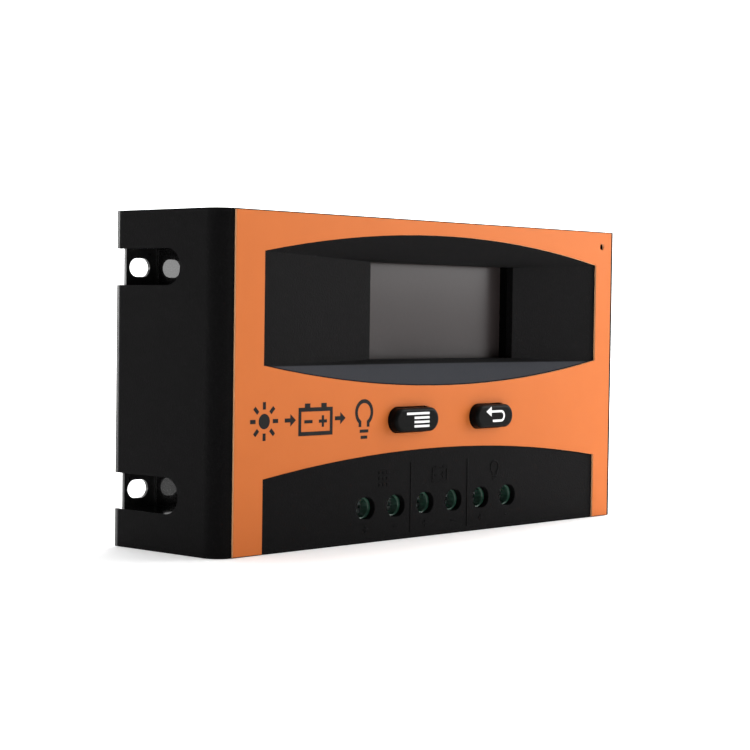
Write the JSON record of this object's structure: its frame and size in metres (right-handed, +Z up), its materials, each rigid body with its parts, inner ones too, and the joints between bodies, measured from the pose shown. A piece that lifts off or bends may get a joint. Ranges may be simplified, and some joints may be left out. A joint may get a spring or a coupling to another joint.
{
  "type": "solar charge controller",
  "caption": "Wall-mounted solar charge controller with a sunken display window, two push buttons and a row of screw terminals.",
  "frame": {"origin": "middle of the footprint, on the face it stands on", "axes": "+X to the right seen from the front, +Y from the front to the back, +Z up"},
  "size_m": [0.15, 0.0384, 0.078],
  "materials": {
    "black_case": "fine textured black moulding",
    "black_cover": "black powder coat on sheet metal",
    "orange_label": "satin orange printed overlay",
    "screw_steel": "zinc plated",
    "black_frame": "matt black moulding",
    "display_film": "dark grey polarising film",
    "display_glass": "clear",
    "rear_film": "grey film",
    "light_guide": "white light guide",
    "tinned_metal": "tin plated",
    "black_button": "satin black moulding",
    "white_inlay": "white inlay",
    "switch_black": "black nylon",
    "indicator_lens": "tinted clear lens",
    "green_board": "solder mask on glass fibre",
    "aluminium_bar": "sawn bar",
    "thermal_pad": "soft grey silicone",
    "chip_black": "moulding compound",
    "capacitor_sleeve": "shrunk sleeve",
    "green_block": "green nylon",
    "terminal_screw_steel": "zinc plated",
    "clamp_nickel": "nickel plated"
  },
  "bodies": {
    "case": {"backlight_panel": "light_guide", "battery_terminal_block": "green_block", "board_screws": "screw_steel", "capacitors": "capacitor_sleeve", "chip_leads": "tinned_metal", "chip_resistors": "chip_black", "controller_chip": "chip_black", "cover_screws": "screw_steel", "current_shunts": "tinned_metal", "display_frame": "black_frame", "display_glass": "display_glass", "display_pins": "tinned_metal", "face_label": "orange_label", "front_film": "display_film", "front_housing": "black_case", "heat_spreader": "aluminium_bar", "load_terminal_block": "green_block", "main_board": "green_board", "menu_switch": "switch_black", "mosfet_bodies": "chip_black", "mosfet_screws": "screw_steel", "mosfet_tabs": "tinned_metal", "protection_diodes": "chip_black", "rear_cover": "black_cover", "rear_film": "rear_film", "return_switch": "switch_black", "solar_terminal_block": "green_block", "spreader_screws": "screw_steel", "status_indicator": "indicator_lens", "terminal_contacts": "tinned_metal", "thermal_pad": "thermal_pad"},
    "menu_button_body": {"menu_button": "black_button", "menu_icon": "white_inlay", "menu_plunger": "switch_black"},
    "return_button_body": {"return_button": "black_button", "return_icon": "white_inlay", "return_plunger": "switch_black"},
    "solar_plus_screw_body": {"solar_plus_screw": "terminal_screw_steel"},
    "solar_plus_clamp_body": {"solar_plus_clamp": "clamp_nickel"},
    "solar_minus_screw_body": {"solar_minus_screw": "terminal_screw_steel"},
    "solar_minus_clamp_body": {"solar_minus_clamp": "clamp_nickel"},
    "battery_plus_screw_body": {"battery_plus_screw": "terminal_screw_steel"},
    "battery_plus_clamp_body": {"battery_plus_clamp": "clamp_nickel"},
    "battery_minus_screw_body": {"battery_minus_screw": "terminal_screw_steel"},
    "battery_minus_clamp_body": {"battery_minus_clamp": "clamp_nickel"},
    "load_plus_screw_body": {"load_plus_screw": "terminal_screw_steel"},
    "load_plus_clamp_body": {"load_plus_clamp": "clamp_nickel"},
    "load_minus_screw_body": {"load_minus_screw": "terminal_screw_steel"},
    "load_minus_clamp_body": {"load_minus_clamp": "clamp_nickel"}
  },
  "joints": [
    {"name": "menu_press", "type": "slide", "parent": "case", "child": "menu_button_body", "axis": [0, 1, 0], "range_m": [0, 0.0003], "stiffness_N_per_m": 5000, "springref_m": -0.0001},
    {"name": "return_press", "type": "slide", "parent": "case", "child": "return_button_body", "axis": [0, 1, 0], "range_m": [0, 0.0003], "stiffness_N_per_m": 5000, "springref_m": -0.0001},
    {"name": "solar_plus_clamping", "type": "slide", "parent": "case", "child": "solar_plus_clamp_body", "axis": [0, -1, 0], "range_m": [0, 0.0035]},
    {"name": "solar_plus_turn", "type": "hinge", "parent": "case", "child": "solar_plus_screw_body", "pos_m": [-0.0268, -0.01073, 0.0083], "axis": [0, 1, 0], "range_deg": [0, 2100]},
    {"name": "solar_minus_clamping", "type": "slide", "parent": "case", "child": "solar_minus_clamp_body", "axis": [0, -1, 0], "range_m": [0, 0.0035]},
    {"name": "solar_minus_turn", "type": "hinge", "parent": "case", "child": "solar_minus_screw_body", "pos_m": [-0.016, -0.01073, 0.0083], "axis": [0, 1, 0], "range_deg": [0, 2100]},
    {"name": "battery_plus_clamping", "type": "slide", "parent": "case", "child": "battery_plus_clamp_body", "axis": [0, -1, 0], "range_m": [0, 0.0035]},
    {"name": "battery_plus_turn", "type": "hinge", "parent": "case", "child": "battery_plus_screw_body", "pos_m": [-0.0052, -0.01073, 0.0083], "axis": [0, 1, 0], "range_deg": [0, 2100]},
    {"name": "battery_minus_clamping", "type": "slide", "parent": "case", "child": "battery_minus_clamp_body", "axis": [0, -1, 0], "range_m": [0, 0.0035]},
    {"name": "battery_minus_turn", "type": "hinge", "parent": "case", "child": "battery_minus_screw_body", "pos_m": [0.0056, -0.01073, 0.0083], "axis": [0, 1, 0], "range_deg": [0, 2100]},
    {"name": "load_plus_clamping", "type": "slide", "parent": "case", "child": "load_plus_clamp_body", "axis": [0, -1, 0], "range_m": [0, 0.0035]},
    {"name": "load_plus_turn", "type": "hinge", "parent": "case", "child": "load_plus_screw_body", "pos_m": [0.0164, -0.01073, 0.0083], "axis": [0, 1, 0], "range_deg": [0, 2100]},
    {"name": "load_minus_clamping", "type": "slide", "parent": "case", "child": "load_minus_clamp_body", "axis": [0, -1, 0], "range_m": [0, 0.0035]},
    {"name": "load_minus_turn", "type": "hinge", "parent": "case", "child": "load_minus_screw_body", "pos_m": [0.0272, -0.01073, 0.0083], "axis": [0, 1, 0], "range_deg": [0, 2100]}
  ],
  "couplings": [
    {"joint": "solar_plus_turn", "follows": "solar_plus_clamping", "rad_per_m": 10472},
    {"joint": "solar_minus_turn", "follows": "solar_minus_clamping", "rad_per_m": 10472},
    {"joint": "battery_plus_turn", "follows": "battery_plus_clamping", "rad_per_m": 10472},
    {"joint": "battery_minus_turn", "follows": "battery_minus_clamping", "rad_per_m": 10472},
    {"joint": "load_plus_turn", "follows": "load_plus_clamping", "rad_per_m": 10472},
    {"joint": "load_minus_turn", "follows": "load_minus_clamping", "rad_per_m": 10472}
  ]
}
